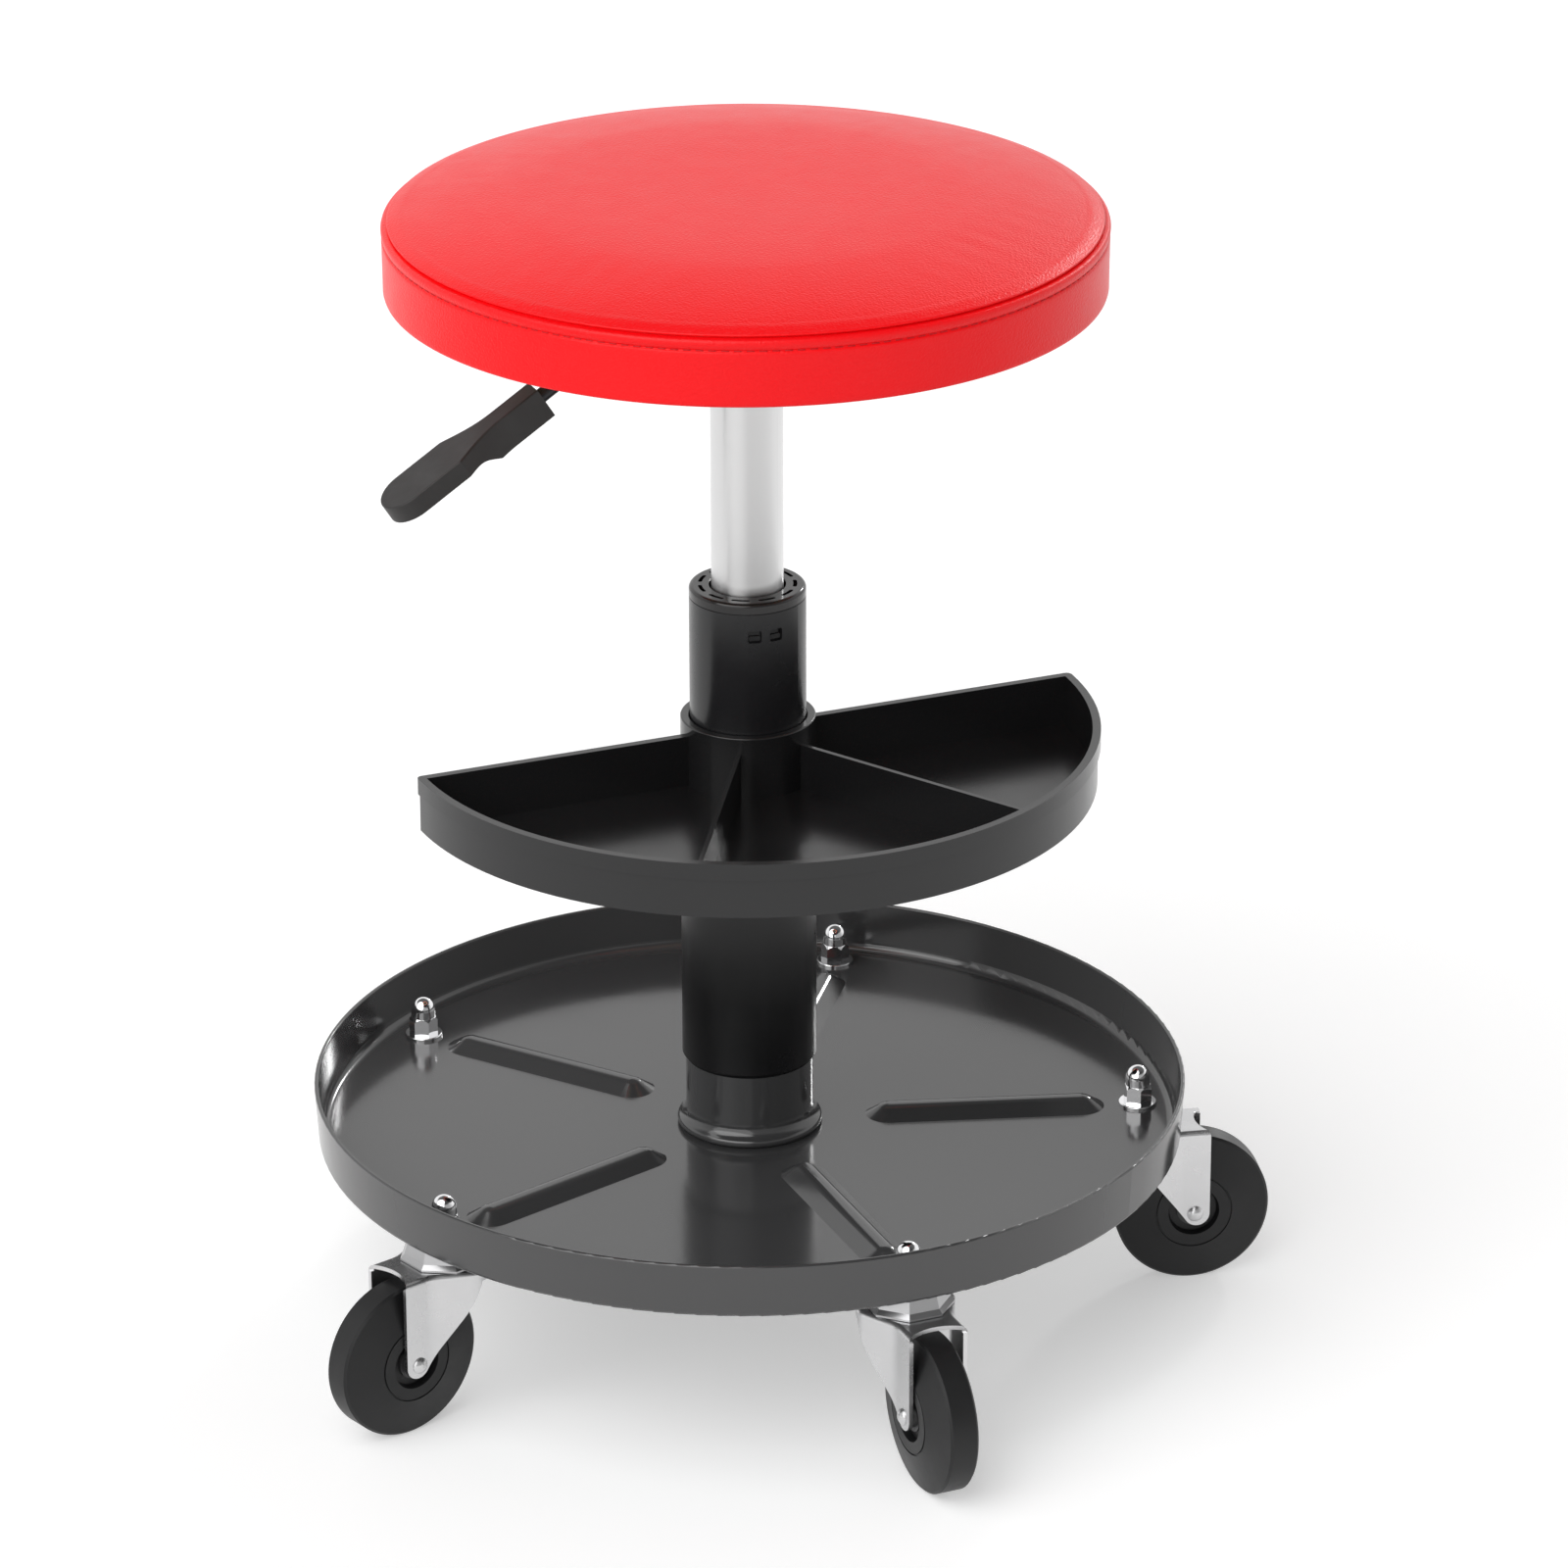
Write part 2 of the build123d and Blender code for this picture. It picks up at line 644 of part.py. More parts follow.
with BuildPart() as seat_cover:
    with BuildSketch(Plane.XZ):
        with BuildLine():
            cushion_line(0, band_bottom)
        make_face()
    revolve(axis=Axis.Z)
    with BuildSketch(Plane.XZ):
        with BuildLine():
            cushion_line(vinyl, plate_top)
        make_face()
    revolve(axis=Axis.Z, mode=Mode.SUBTRACT)
    with BuildSketch(Plane.XY.offset(band_bottom)):
        Circle(hem_radius)
    extrude(amount=vinyl, mode=Mode.SUBTRACT)
save(seat_cover.part, "seat_cover")

# Foam pad between the board and the cover
with BuildPart() as seat_foam:
    with BuildSketch(Plane.XZ):
        with BuildLine():
            cushion_line(vinyl + 0.15, plate_top + 1.0)
        make_face()
    revolve(axis=Axis.Z)
    with BuildSketch(Plane.XY.offset(plate_top)):
        Circle(board_radius + running_gap)
    extrude(amount=board_thickness, mode=Mode.SUBTRACT)
save(seat_foam.part, "seat_foam")

# Caster parts, drawn about the stem at the origin with the trail along +X
wheel_centre = Plane(origin=(trail, 0, wheel_radius), x_dir=(0, 1, 0), z_dir=(1, 0, 0))
wheel_axis = Axis((trail, 0, wheel_radius), (0, 1, 0))
half_fork = fork_width / 2
skirt_bottom = crown_top - 6.0
arm_lean = 54.4
arm_foot = arm_rear - arm_end
tangent_x = arm_foot - arm_end * sin(radians(arm_lean))
tangent_z = wheel_radius - arm_end * cos(radians(arm_lean))
haunch_z = 58.8
haunch_x = tangent_x - (haunch_z - tangent_z) / tan(radians(arm_lean))


def fork_line():
    """Draw the fork's outline from above: two straight arms that flare to a round crown."""
    flare_x = -1.0
    flare_y = sqrt(crown_radius ** 2 - flare_x ** 2)
    Polyline((flare_x, -flare_y), (arm_crease, -half_fork), (arm_rear, -half_fork), (arm_rear, half_fork),
             (arm_crease, half_fork), (flare_x, flare_y))
    ThreePointArc((flare_x, flare_y), (-crown_radius, 0), (flare_x, -flare_y))


with BuildPart() as fork_blank:
    fork_foot = wheel_radius - arm_end - 1.0
    with BuildSketch(Plane.XY.offset(fork_foot)) as fork_plan:
        with BuildLine():
            fork_line()
        make_face()
        flares = fork_plan.vertices().filter_by_position(Axis.X, -5.0, 5.0)
        fillet(flares, radius=flare_bend)
        creases = fork_plan.vertices().filter_by_position(Axis.X, arm_crease - 1, arm_crease + 1)
        fillet(creases, radius=arm_bend)
    extrude(amount=crown_top - fork_foot)
    crown_edges = fork_blank.edges().group_by(Axis.Z)[-1].sort_by(Axis.X)
    fillet(crown_edges[:-1], radius=2.6)
    with BuildSketch(Plane.XY.offset(fork_foot)) as fork_hollow:
        with BuildLine():
            fork_line()
        make_face()
        flares = fork_hollow.vertices().filter_by_position(Axis.X, -5.0, 5.0)
        fillet(flares, radius=flare_bend)
        creases = fork_hollow.vertices().filter_by_position(Axis.X, arm_crease - 1, arm_crease + 1)
        fillet(creases, radius=arm_bend)
        offset(amount=-sheet, mode=Mode.REPLACE)
        with Locations((arm_rear - 3.0, 0)):
            Rectangle(12.0, fork_width - 2 * sheet)
    extrude(amount=crown_top - sheet - fork_foot, mode=Mode.SUBTRACT)
    with BuildSketch(Plane.XZ):
        with BuildLine():
            CenterArc((arm_foot, wheel_radius), arm_end, 0, -(90 + arm_lean))
            Line((tangent_x, tangent_z), (haunch_x, haunch_z))
            ThreePointArc((haunch_x, haunch_z), (1.2, 69.5), (-4.0, skirt_bottom))
            Polyline(
                (-4.0, skirt_bottom),
                (-crown_radius - 2, skirt_bottom),
                (-crown_radius - 2, crown_top + 1),
                (arm_rear, crown_top + 1),
                (arm_rear, wheel_radius),
            )
        make_face()
    extrude(amount=crown_radius + 2, both=True, mode=Mode.INTERSECT)
    with BuildSketch(Plane.XY.offset(crown_top - sheet - 1)):
        with Locations((arm_rear - arch_depth + arch_radius, 0)):
            Circle(arch_radius)
    extrude(amount=sheet + 2, mode=Mode.SUBTRACT)
    with BuildSketch(Plane.XY.offset(crown_top - sheet - 1)):
        Circle(stem_radius + slip_gap)
    extrude(amount=sheet + 2, mode=Mode.SUBTRACT)
    with BuildSketch(Plane.XZ):
        with Locations((trail, wheel_radius)):
            Circle(axle_radius)
    extrude(amount=half_fork + 1, both=True, mode=Mode.SUBTRACT)

# Axle rivet with a domed head at each end
head_radius = 4.2
head_height = 2.5
with BuildPart() as axle_blank:
    with BuildSketch(wheel_centre):
        with BuildLine():
            Polyline((0, 0), (0, axle_radius), (half_fork, axle_radius), (half_fork, head_radius),
                     (half_fork + 0.5, head_radius))
            RadiusArc((half_fork + 0.5, head_radius), (half_fork + head_height, 0),
                      dome_size(head_radius, head_height - 0.5))
            Line((half_fork + head_height, 0), (0, 0))
        make_face()
    revolve(axis=wheel_axis)
    mirror(about=Plane.XZ)

# Wheel: a flat tread, faces that rise to a flat hub, a ring groove and a deep recess
hub_bore = 8.5
hub_face = hub_width / 2
half_tread = tread_width / 2
with BuildPart() as wheel_blank:
    with BuildSketch(wheel_centre):
        with BuildLine():
            wheel_line = Polyline(
                (0, hub_bore),
                (9.0, hub_bore),
                (9.0, 12.4),
                (hub_face, 13.4),
                (hub_face, 19.2),
                (hub_face - 0.7, 19.4),
                (hub_face - 0.7, 20.0),
                (hub_face - 0.1, 20.2),
                (half_tread, wheel_radius - 1.2),
                (half_tread - 1.2, wheel_radius),
                (0, wheel_radius),
                (0, hub_bore),
            )
        make_face()
    revolve(axis=wheel_axis)
    mirror(about=Plane.XZ)

# Hub bush that turns on the axle
with BuildPart() as hub_blank:
    with BuildSketch(wheel_centre):
        with BuildLine():
            Polyline(
                (0, axle_radius + slip_gap),
                (hub_face + 0.4, axle_radius + slip_gap),
                (hub_face + 0.4, 5.6),
                (10.6, 6.4),
                (10.6, hub_bore),
                (0, hub_bore),
                close=True,
            )
        make_face()
    revolve(axis=wheel_axis)
    mirror(about=Plane.XZ)

# Each caster's four moving pieces, turned to where the caster points
caster_planes = [on_stem(angle, swivel) for angle, swivel in zip(caster_angles, swivel_offsets)]
caster_blanks = {"fork": fork_blank, "axle": axle_blank, "wheel": wheel_blank, "hub": hub_blank}
for number, caster_plane in enumerate(caster_planes, start=1):
    for piece_name, blank in caster_blanks.items():
        with BuildPart(caster_plane) as caster_piece:
            add(blank.part)
        save(caster_piece.part, f"caster_{number}_{piece_name}")

# Caster stems: studs with a head under the crown, fixed in the pan by their nuts
nut_bottom = floor_top + 1.6
with BuildPart() as stem_blank:
    with BuildSketch(Plane.XY.offset(crown_top - sheet - 4.6)):
        Circle(6.5)
    extrude(amount=3.0)
    with BuildSketch(Plane.XY.offset(crown_top - sheet - 4.6)):
        Circle(stem_radius)
    extrude(amount=nut_bottom + 14.0 - crown_top + sheet + 4.6)
    fillet(stem_blank.edges().group_by(Axis.Z)[0], radius=1.5)
with BuildPart(*caster_planes) as caster_stems:
    add(stem_blank.part)
save(caster_stems.part, "caster_stems")

# Washers that carry each fork's crown on the stem's head
stem_washer_blank = ring(9.0, stem_radius, 1.2, Plane.XY.offset(crown_top - sheet - 1.6))
with BuildPart(*caster_planes) as stem_washers:
    add(stem_washer_blank)
save(stem_washers.part, "stem_washers")

# Eight-sided race caps between the forks and the pan, with a flange at the foot
cap_bottom = crown_top + running_gap
with BuildPart() as race_cap_blank:
    with BuildSketch(Plane.XY.offset(cap_bottom)):
        RegularPolygon(race_cap_flats / 2, 8, major_radius=False, rotation=race_cap_turn)
    extrude(amount=cap_flange)
    flange_top = race_cap_blank.faces().sort_by(Axis.Z)[-1]
    extrude(flange_top, amount=cap_flare, taper=41.5)
    flare_top = race_cap_blank.faces().sort_by(Axis.Z)[-1]
    extrude(flare_top, amount=pan_bottom - cap_bottom - cap_flange - cap_flare, taper=15.5)
    with BuildSketch(Plane.XY.offset(cap_bottom)):
        Circle(race_bore)
    extrude(amount=race_depth, mode=Mode.SUBTRACT)
    with BuildSketch(Plane.XY.offset(cap_bottom)):
        Circle(stem_radius)
    extrude(amount=pan_bottom - cap_bottom, mode=Mode.SUBTRACT)
with BuildPart(*caster_planes) as race_caps:
    add(race_cap_blank.part)
save(race_caps.part, "race_caps")

# Swivel balls running between the caps and the crowns
ball_radius = 3.3
with BuildPart() as ball_ring:
    with PolarLocations(11.5, 8):
        with Locations((0, 0, crown_top + running_gap + 0.1 + ball_radius)):
            Sphere(ball_radius)
with BuildPart(*caster_planes) as swivel_balls:
    add(ball_ring.part)
save(swivel_balls.part, "swivel_balls")

# Dome nuts and their washers, on the pan's floor
hex_top = nut_bottom + nut_hex_height
dome_base = nut_bottom + nut_height - dome_radius
with BuildPart() as nut_blank:
    with BuildSketch(Plane.XY.offset(nut_bottom)):
        RegularPolygon(nut_flats / 2, 6, major_radius=False)
    extrude(amount=nut_hex_height)
    with BuildSketch(Plane.XZ):
        with BuildLine():
            Polyline((0, nut_bottom), (nut_flats / 2 + 1.2, nut_bottom), (nut_flats / 2 + 1.2, hex_top - 2.0),
                     (dome_radius + 0.1, hex_top), (0, hex_top), (0, nut_bottom))
        make_face()
    revolve(axis=Axis.Z, mode=Mode.INTERSECT)
    with BuildSketch(Plane.XY.offset(nut_bottom + 4.0)):
        Circle(dome_radius)
    extrude(amount=dome_base - nut_bottom - 4.0)
    with Locations((0, 0, dome_base)):
        Sphere(dome_radius, arc_size1=0, align=(Align.CENTER, Align.CENTER, Align.MIN))
    with BuildSketch(Plane.XY.offset(nut_bottom)):
        Circle(stem_radius)
    extrude(amount=14.0, mode=Mode.SUBTRACT)
with BuildPart(*[on_stem(angle, turn) for angle, turn in zip(caster_angles, nut_turns)]) as dome_nuts:
    add(nut_blank.part)
save(dome_nuts.part, "dome_nuts")
with BuildPart() as nut_washer_blank:
    with BuildSketch(Plane.XY.offset(floor_top)):
        Circle(nut_washer_radius)
        Circle(stem_radius, mode=Mode.SUBTRACT)
    extrude(amount=nut_bottom - floor_top)
    fillet(nut_washer_blank.edges().group_by(Axis.Z)[-1].sort_by(SortBy.LENGTH)[-1], radius=0.6)
with BuildPart(*stem_planes) as nut_washers:
    add(nut_washer_blank.part)
save(nut_washers.part, "nut_washers")
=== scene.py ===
"""Mechanic stool, dressed: a round vinyl seat on a gas lift, a half-moon tray and a pan base on casters.

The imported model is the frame. The cushion is made here from mesh and cloth, the stitches and staples by
Geometry Nodes, and every other piece keeps its solid and gets a finish. Everything is in metres.
"""

from math import cos, pi, radians, sin, tau

import bmesh
import bpy
from mathutils import Matrix, Vector


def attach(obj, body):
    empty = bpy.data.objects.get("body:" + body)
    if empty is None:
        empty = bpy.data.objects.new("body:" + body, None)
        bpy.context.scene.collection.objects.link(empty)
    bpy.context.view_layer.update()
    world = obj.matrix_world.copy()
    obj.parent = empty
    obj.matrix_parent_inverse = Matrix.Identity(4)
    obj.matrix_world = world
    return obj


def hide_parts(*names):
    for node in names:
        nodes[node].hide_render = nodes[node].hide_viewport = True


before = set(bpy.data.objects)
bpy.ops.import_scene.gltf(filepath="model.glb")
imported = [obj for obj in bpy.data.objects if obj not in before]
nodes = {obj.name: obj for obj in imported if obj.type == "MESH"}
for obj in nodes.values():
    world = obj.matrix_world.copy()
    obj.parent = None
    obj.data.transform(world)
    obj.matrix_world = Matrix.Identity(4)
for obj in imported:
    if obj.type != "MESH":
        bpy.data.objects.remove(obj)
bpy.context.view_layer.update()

mm = 0.001

# Cushion
seat_radius = 178.1 * mm
band_bottom = 552.8 * mm
seam_height = 588.0 * mm
seam_radius = 175.6 * mm
crown_height = 602.0 * mm
crown_flatness = 3.6  # the higher, the farther out the crown stays level
crown_roll = 0.8  # the lower, the rounder it rolls over into the seam
hem_radius = 150.0 * mm
vinyl = 1.5 * mm
turned_steps = 288

# Pad under the top panel, and the cloth that puffs it
pad_radius = 172.6 * mm
pad_depth = 9.0 * mm
pad_spare = 10.0 * mm  # extra height of the blank, which the crown is cut from
pad_segments = 240
held_width = 5.0 * mm
voxel = 5.0 * mm
cloth_quality = 6
cloth_pressure = 4.0
cloth_frames = 20
most_puff = 0.5 * mm

# Stitches and staples
stitch_height = seam_height - 7.0 * mm
stitch_ring = seat_radius - 0.75 * mm
stitch_pitch = 6.0 * mm
stitch_length = 3.6 * mm
stitch_thickness = 0.7 * mm
staple_ring = 158.0 * mm
staple_drop = 0.2 * mm
staple_count = 44
staple_length = 11.0 * mm
staple_thickness = 0.9 * mm
ring_points = 256
bar_sides = 8
bar_segments = 3

# Side band's profile in millimetres: across from seat_radius, and up from band_bottom
lower_edge = [(-4.0, 0.0), (-1.0, 0.1), (-0.25, 0.4), (0.0, 1.2)]
# The same, up from stitch_height: drawn in at the stitches, out over the ridge, in again to the seam
crease = [(0.15, -0.9), (-0.05, -0.65), (-0.85, -0.3), (-0.9, 0.2), (-0.2, 0.75), (0.1, 1.3)]
ridge = [(0.4, 2.4), (0.5, 3.8), (0.25, 4.7), (-0.35, 5.3), (-1.2, 5.55), (-2.4, 5.6), (-3.6, 5.5)]
groove = [(-4.4, 5.65), (-3.7, 6.0), (-2.9, 6.3), (-2.5, 6.7), (-2.42, 7.15), (-2.75, 7.5)]
face_steps = 12
face_bulge = 0.25 * mm
face_end = 1.6 * mm  # below the stitches
# Rim of the top panel, in millimetres: it lies on the crown for a few steps, then dives under the pad
rim_start = 0.9
rim_pitch = 1.35
rim_steps = 12
rim_level_steps = 4
rim_rise = 0.10
rim_dive = 1.2
rim_thickness = 4.0 * mm

# Noise keeps mostly to this span
noise_span = (0.3, 0.7)

# Floor and light
floor_reach = 14.0
floor_grey = 0.76
floor_lift = 0.385
backdrop_top = 0.56  # sine of the elevation that the white backdrop reaches
ceiling_start = 0.74  # sine of the elevation where the dim ceiling starts
ceiling_level = 0.12
front_level = 0.40
front_edge = -0.6  # how far a direction points away from the camera where the front's dimness is full
back_edge = 0.3  # and where it has gone

# Camera, in the photograph's place
camera_distance = 3.46917
camera_height = 1.76047
camera_side = 31.3
camera_yaw = 0.2973
camera_pitch = 23.030
camera_roll = -0.148
camera_lens = 171.44
camera_sensor = 36.0
camera_reach = 100.0


def socket(tree, name, side, kind, value=None):
    """Add one named socket to a group's or tree's interface."""
    new = tree.interface.new_socket(name, in_out=side, socket_type=kind)
    if value is not None:
        new.default_value = value
    return new


def join(tree, start, end):
    """Link one socket to another."""
    tree.links.new(start, end)


# Shader groups that more than one finish uses


def shader_group(name, inputs, outputs):
    """A shader group fed with a vector and these inputs: its tree, its first node and its last."""
    tree = bpy.data.node_groups.new(name, "ShaderNodeTree")
    socket(tree, "Vector", "INPUT", "NodeSocketVector")
    for entry, kind in inputs.items():
        socket(tree, entry, "INPUT", kind)
    for entry in outputs:
        socket(tree, entry, "OUTPUT", "NodeSocketFloat")
    return tree, tree.nodes.new("NodeGroupInput"), tree.nodes.new("NodeGroupOutput")


def spread_noise(tree, noise, start, end):
    """Spread a noise from the group's Low to its High, and put it out as the group's Value."""
    spread = tree.nodes.new("ShaderNodeMapRange")
    spread.inputs["From Min"].default_value, spread.inputs["From Max"].default_value = noise_span
    join(tree, noise.outputs["Fac"], spread.inputs["Value"])
    join(tree, start.outputs["Low"], spread.inputs["To Min"])
    join(tree, start.outputs["High"], spread.inputs["To Max"])
    join(tree, spread.outputs["Result"], end.inputs["Value"])


def mottle_group():
    """Slow, cloudy change between a low and a high value, as on any rubbed or moulded surface."""
    inputs = {"Scale": "NodeSocketFloat", "Low": "NodeSocketFloat", "High": "NodeSocketFloat"}
    tree, start, end = shader_group("Mottle", inputs, ["Value"])
    noise = tree.nodes.new("ShaderNodeTexNoise")
    noise.inputs["Detail"].default_value = 4.0
    noise.inputs["Roughness"].default_value = 0.6
    join(tree, start.outputs["Vector"], noise.inputs["Vector"])
    join(tree, start.outputs["Scale"], noise.inputs["Scale"])
    spread_noise(tree, noise, start, end)
    return tree


def grain_group():
    """A fine moulded or embossed grain: rounded cells over a finer noise, put out as a height."""
    inputs = {"Cells": "NodeSocketFloat", "Noise": "NodeSocketFloat", "Share": "NodeSocketFloat"}
    tree, start, end = shader_group("Fine Grain", inputs, ["Height"])
    cells = tree.nodes.new("ShaderNodeTexVoronoi")
    cells.feature = "SMOOTH_F1"
    noise = tree.nodes.new("ShaderNodeTexNoise")
    noise.inputs["Detail"].default_value = 3.0
    blend = tree.nodes.new("ShaderNodeMix")
    join(tree, start.outputs["Vector"], cells.inputs["Vector"])
    join(tree, start.outputs["Cells"], cells.inputs["Scale"])
    join(tree, start.outputs["Vector"], noise.inputs["Vector"])
    join(tree, start.outputs["Noise"], noise.inputs["Scale"])
    join(tree, start.outputs["Share"], blend.inputs["Factor"])
    join(tree, cells.outputs["Distance"], blend.inputs["A"])
    join(tree, noise.outputs["Fac"], blend.inputs["B"])
    join(tree, blend.outputs["Result"], end.inputs["Height"])
    return tree


def brushed_group():
    """Fine lines drawn along one direction, as a roll, lathe or belt leaves them on metal."""
    inputs = {"Stretch": "NodeSocketVector", "Low": "NodeSocketFloat", "High": "NodeSocketFloat"}
    tree, start, end = shader_group("Brushed Lines", inputs, ["Value", "Height"])
    scaled = tree.nodes.new("ShaderNodeVectorMath")
    scaled.operation = "MULTIPLY"
    noise = tree.nodes.new("ShaderNodeTexNoise")
    noise.inputs["Scale"].default_value = 1.0
    noise.inputs["Detail"].default_value = 3.0
    join(tree, start.outputs["Vector"], scaled.inputs[0])
    join(tree, start.outputs["Stretch"], scaled.inputs[1])
    join(tree, scaled.outputs["Vector"], noise.inputs["Vector"])
    join(tree, noise.outputs["Fac"], end.inputs["Height"])
    spread_noise(tree, noise, start, end)
    return tree


mottle = mottle_group()
fine_grain = grain_group()
brushed_lines = brushed_group()


class Finish:
    """One material while it is being made: its node tree, its shader and the object's own coordinates."""

    def __init__(self, name, colour, roughness, metallic=0.0, specular=0.5):
        self.material = bpy.data.materials.new(name)
        self.material.use_nodes = True
        self.tree = self.material.node_tree
        self.shader = self.tree.nodes["Principled BSDF"]
        self.shader.inputs["Base Color"].default_value = (*colour, 1.0)
        self.shader.inputs["Roughness"].default_value = roughness
        self.shader.inputs["Metallic"].default_value = metallic
        self.shader.inputs["Specular IOR Level"].default_value = specular
        self.place = self.tree.nodes.new("ShaderNodeTexCoord").outputs["Object"]

    def group(self, tree, **values):
        """Place a shader group, fed with the object's coordinates and these values."""
        node = self.tree.nodes.new("ShaderNodeGroup")
        node.node_tree = tree
        join(self.tree, self.place, node.inputs["Vector"])
        for name, value in values.items():
            node.inputs[name].default_value = value
        return node

    def shade(self, low, high, scale):
        """Let the colour drift between two shades."""
        drift = self.group(mottle, Scale=scale, Low=0.0, High=1.0)
        mix = self.tree.nodes.new("ShaderNodeMix")
        mix.data_type = "RGBA"
        colours = [s for s in mix.inputs if s.type == "RGBA"]
        colours[0].default_value = (*low, 1.0)
        colours[1].default_value = (*high, 1.0)
        join(self.tree, drift.outputs["Value"], mix.inputs["Factor"])
        result = [s for s in mix.outputs if s.type == "RGBA"][0]
        join(self.tree, result, self.shader.inputs["Base Color"])

    def uneven_gloss(self, low, high, scale):
        """Let the roughness drift between two values."""
        drift = self.group(mottle, Scale=scale, Low=low, High=high)
        join(self.tree, drift.outputs["Value"], self.shader.inputs["Roughness"])

    def brushed_gloss(self, stretch, low, high):
        """Let the roughness follow fine drawn lines, and return the lines."""
        lines = self.group(brushed_lines, Stretch=stretch, Low=low, High=high)
        join(self.tree, lines.outputs["Value"], self.shader.inputs["Roughness"])
        return lines

    def bump(self, height, strength, depth):
        """Raise the surface by a height."""
        node = self.tree.nodes.new("ShaderNodeBump")
        node.inputs["Strength"].default_value = strength
        node.inputs["Distance"].default_value = depth
        join(self.tree, height, node.inputs["Height"])
        join(self.tree, node.outputs["Normal"], self.shader.inputs["Normal"])

    def grain(self, cells, noise, share, strength, depth):
        """Raise the surface by a fine grain."""
        grain = self.group(fine_grain, Cells=cells, Noise=noise, Share=share)
        self.bump(grain.outputs["Height"], strength, depth)


# Finishes


def red_vinyl():
    """Bright red upholstery vinyl with a fine embossed grain and a soft, broad sheen."""
    finish = Finish("Red vinyl", colour=(0.97, 0.003, 0.007), roughness=0.38, specular=0.28)
    finish.shade(low=(0.96, 0.002, 0.006), high=(0.98, 0.004, 0.008), scale=9.0)
    finish.uneven_gloss(low=0.32, high=0.37, scale=60.0)
    finish.grain(cells=950.0, noise=420.0, share=0.25, strength=0.80, depth=0.00035)
    return finish.material


def thread():
    """Darker red twisted thread."""
    finish = Finish("Red thread", colour=(0.62, 0.004, 0.009), roughness=0.6)
    finish.shade(low=(0.56, 0.003, 0.007), high=(0.68, 0.005, 0.010), scale=900.0)
    finish.grain(cells=4200.0, noise=2600.0, share=0.5, strength=0.5, depth=0.0002)
    return finish.material


def black_enamel():
    """Glossy black powder coat with a faint orange peel, on the pan and its socket."""
    finish = Finish("Black enamel", colour=(0.045, 0.045, 0.046), roughness=0.16, specular=0.75)
    finish.uneven_gloss(low=0.12, high=0.17, scale=14.0)
    finish.grain(cells=260.0, noise=240.0, share=0.8, strength=0.05, depth=0.0004)
    return finish.material


def satin_enamel():
    """Satin black enamel on the column and the steel pieces under the seat."""
    finish = Finish("Satin black enamel", colour=(0.010, 0.010, 0.011), roughness=0.26)
    finish.uneven_gloss(low=0.23, high=0.31, scale=22.0)
    finish.grain(cells=420.0, noise=320.0, share=0.8, strength=0.05, depth=0.0003)
    return finish.material


def tray_plastic():
    """Moulded black plastic of the tray: soft gloss over a very fine texture."""
    finish = Finish("Tray plastic", colour=(0.010, 0.010, 0.0105), roughness=0.2)
    finish.uneven_gloss(low=0.17, high=0.23, scale=26.0)
    finish.grain(cells=1500.0, noise=700.0, share=0.5, strength=0.07, depth=0.00015)
    return finish.material


def sleeve_plastic():
    """Satin black plastic of the sleeve and the guide bush."""
    finish = Finish("Sleeve plastic", colour=(0.004, 0.004, 0.0045), roughness=0.3)
    finish.uneven_gloss(low=0.26, high=0.34, scale=30.0)
    finish.grain(cells=1400.0, noise=600.0, share=0.5, strength=0.05, depth=0.00015)
    return finish.material


def cap_plastic():
    """Glossier black plastic of the column's cap."""
    finish = Finish("Cap plastic", colour=(0.010, 0.009, 0.009), roughness=0.15)
    finish.uneven_gloss(low=0.12, high=0.18, scale=40.0)
    return finish.material


def grip_plastic():
    """Matte dark plastic of the lever's grip, with a spark-eroded texture."""
    finish = Finish("Grip plastic", colour=(0.016, 0.0145, 0.014), roughness=0.5)
    finish.uneven_gloss(low=0.45, high=0.56, scale=60.0)
    finish.grain(cells=1800.0, noise=1300.0, share=0.5, strength=0.25, depth=0.0002)
    return finish.material


def wheel_rubber():
    """Dense black rubber of the wheels, a little dusty in its gloss."""
    finish = Finish("Wheel rubber", colour=(0.006, 0.006, 0.0065), roughness=0.45, specular=0.4)
    finish.uneven_gloss(low=0.40, high=0.52, scale=45.0)
    finish.grain(cells=1100.0, noise=500.0, share=0.7, strength=0.10, depth=0.0002)
    return finish.material


def soft_rubber():
    """Matte black rubber of the bump stop and the gland."""
    finish = Finish("Soft rubber", colour=(0.012, 0.012, 0.012), roughness=0.7)
    finish.uneven_gloss(low=0.62, high=0.78, scale=80.0)
    return finish.material


def nylon():
    """Dark nylon of the tray's washer and the hub bushes, seen only at their edges."""
    finish = Finish("Dark nylon", colour=(0.035, 0.035, 0.036), roughness=0.42)
    finish.uneven_gloss(low=0.38, high=0.48, scale=70.0)
    return finish.material


def bright_tube():
    """Satin bright metal of the gas lift's tube, ground round and round."""
    finish = Finish("Bright tube", colour=(0.70, 0.70, 0.70), roughness=0.28, metallic=1.0)
    finish.shader.inputs["Anisotropic"].default_value = 0.9
    finish.shader.inputs["Anisotropic Rotation"].default_value = 0.25
    finish.brushed_gloss(stretch=(30.0, 30.0, 3200.0), low=0.28, high=0.295)
    return finish.material


def zinc_plate():
    """Bright zinc on pressed steel: the forks, rivets, bolts, nuts, washers and staples."""
    finish = Finish("Zinc plate", colour=(0.64, 0.64, 0.645), roughness=0.28, metallic=1.0)
    finish.shade(low=(0.62, 0.62, 0.625), high=(0.66, 0.66, 0.665), scale=30.0)
    finish.uneven_gloss(low=0.25, high=0.31, scale=40.0)
    return finish.material


